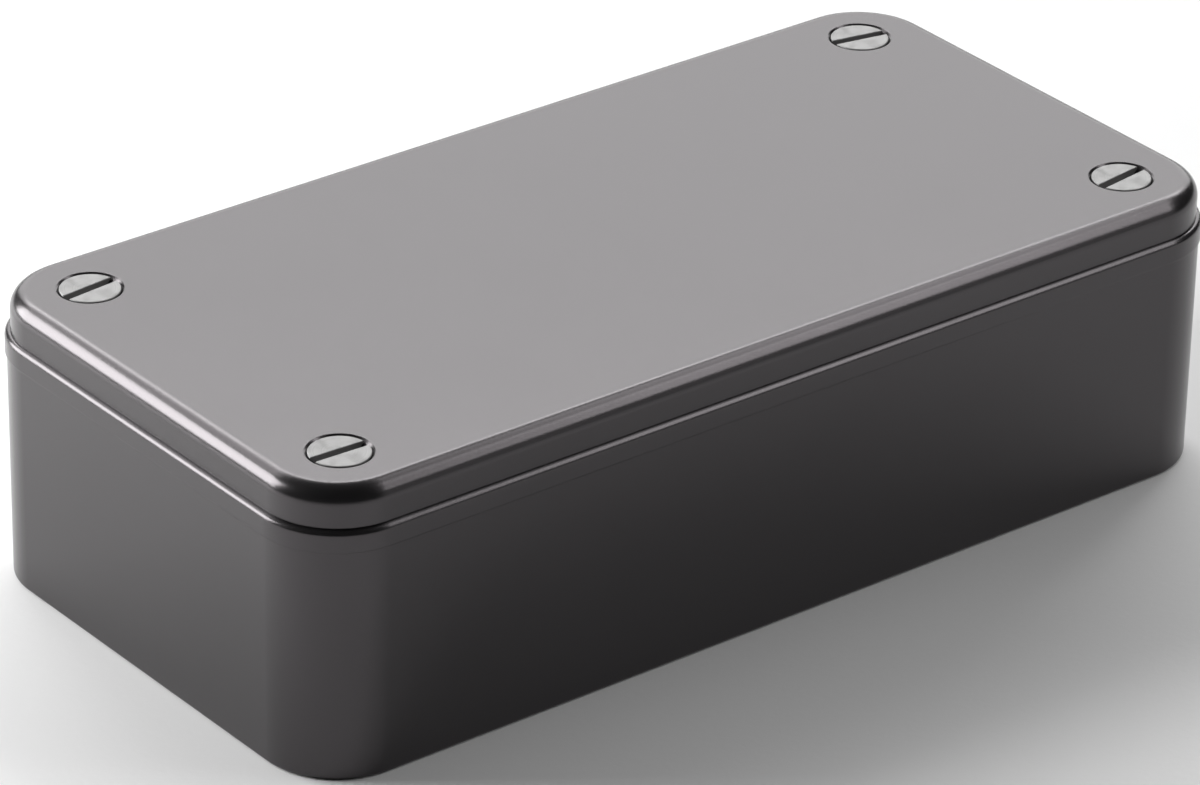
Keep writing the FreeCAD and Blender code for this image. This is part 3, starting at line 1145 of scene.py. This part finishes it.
@dataclass
class Softbox:
    """A flat lamp that faces the box from one direction, with its own sizes in metres."""

    name: str
    azimuth: float
    elevation: float
    size: tuple[float, float]
    radiance: float
    distance: float = 0.9
    turn: float = 0.0

    def build(self) -> bpy.types.Object:
        """Hangs the lamp.

        Returns:
            The lamp.
        """
        lamp = bpy.data.lights.new(self.name, "AREA")
        lamp.shape = "RECTANGLE"
        lamp.size, lamp.size_y = self.size
        lamp.energy = self.radiance * math.pi * self.size[0] * self.size[1]
        holder = bpy.data.objects.new(self.name, lamp)
        bpy.context.scene.collection.objects.link(holder)
        way = towards(self.azimuth, self.elevation)
        spin = Matrix.Rotation(math.radians(self.turn), 3, "Z")
        facing = way.to_track_quat("Z", "Y").to_matrix() @ spin
        holder.matrix_world = Matrix.Translation(way * self.distance) @ facing.to_4x4()
        return holder


@dataclass
class Studio:
    """The paper floor, in metres, the lamps and the even light round them."""

    floor_size: float = 8.0
    paper: StudioPaper = StudioPaper("studio_paper", (0.92, 0.92, 0.92), 0.9)
    surround: float = 0.03
    lamps: list[Softbox] = field(default_factory=lambda: [
        Softbox("rear_right_softbox", 141.3, 25.0, (1.1, 0.58), 2.2),
        Softbox("rear_right_strip", 141.3, 41.5, (0.9, 0.12), 6.1),
        Softbox("rear_softbox", 183.0, 44.0, (0.5, 0.2), 3.0),
        Softbox("right_softbox", 93.0, 54.0, (0.5, 0.22), 2.9),
        Softbox("front_right_strip", 49.0, 40.5, (0.62, 0.2), 4.2, turn=54.0),
        Softbox("front_right_low_softbox", 35.0, 11.0, (0.4, 0.3), 0.4),
        Softbox("rear_left_softbox", 222.0, 23.5, (0.24, 0.19), 10.8, distance=0.35),
    ])

    def build(self) -> None:
        """Lays the floor, hangs the lamps and sets the surrounding light."""
        half = self.floor_size / 2
        sheet = [(x * half, y * half, 0.0) for x, y in ((-1, -1), (1, -1), (1, 1), (-1, 1))]
        mesh = bpy.data.meshes.new("studio_floor")
        mesh.from_pydata(sheet, [], [(0, 1, 2, 3)])
        mesh.materials.append(self.paper.material())
        floor = bpy.data.objects.new("studio_floor", mesh)
        bpy.context.scene.collection.objects.link(floor)
        for lamp in self.lamps:
            lamp.build()
        world = bpy.data.worlds.new("studio_surround")
        world.use_nodes = True
        background = world.node_tree.nodes["Background"]
        background.inputs["Color"].default_value = (1.0, 1.0, 1.0, 1.0)
        background.inputs["Strength"].default_value = self.surround
        bpy.context.scene.world = world
        bpy.context.scene.view_settings.view_transform = "Standard"
        LOG.info("studio: %d lamps", len(self.lamps))


@dataclass
class PhotoCamera:
    """The camera at the photograph's angle, with its target and distance in millimetres."""

    azimuth: float = -38.679
    elevation: float = 28.077
    roll: float = 1.1556
    distance: float = 571.29
    focal_pixels: float = 6725.92
    image_width: int = 1200
    sensor_width: float = 36.0
    clip_start: float = 0.01
    target: Point = (-9.4649, -10.1161, 18.5725)

    def build(self) -> bpy.types.Object:
        """Sets the camera up and makes it the scene's own.

        Returns:
            The camera.
        """
        back = towards(self.azimuth, self.elevation)
        across = math.radians(self.azimuth)
        right = Vector((math.cos(across), math.sin(across), 0.0))
        lens = bpy.data.cameras.new("photo_camera")
        lens.sensor_width = self.sensor_width
        lens.lens = self.focal_pixels / self.image_width * self.sensor_width
        lens.clip_start = self.clip_start
        camera = bpy.data.objects.new("photo_camera", lens)
        bpy.context.scene.collection.objects.link(camera)
        axes = Matrix((right, back.cross(right), back)).transposed().to_4x4()
        spin = Matrix.Rotation(math.radians(self.roll), 4, "Z")
        place = Matrix.Translation((Vector(self.target) + back * self.distance) * MM)
        camera.matrix_world = place @ axes @ spin
        bpy.context.scene.camera = camera
        return camera


def main() -> None:
    """Builds the camera, the box's pieces and the studio."""
    logging.basicConfig(level=logging.INFO, format="%(name)s: %(message)s")
    sizes = BoxSizes()
    PhotoCamera().build()
    assemblies: list[Any] = [Tray(sizes), Lid(sizes)]
    assemblies += [LidScrew(sizes, corner) for corner in Corner]
    assemblies += [ThreadedInsert(sizes, corner) for corner in Corner]
    for assembly in assemblies:
        assembly.build()
    Studio().build()


if __name__ == "__main__":
    main()
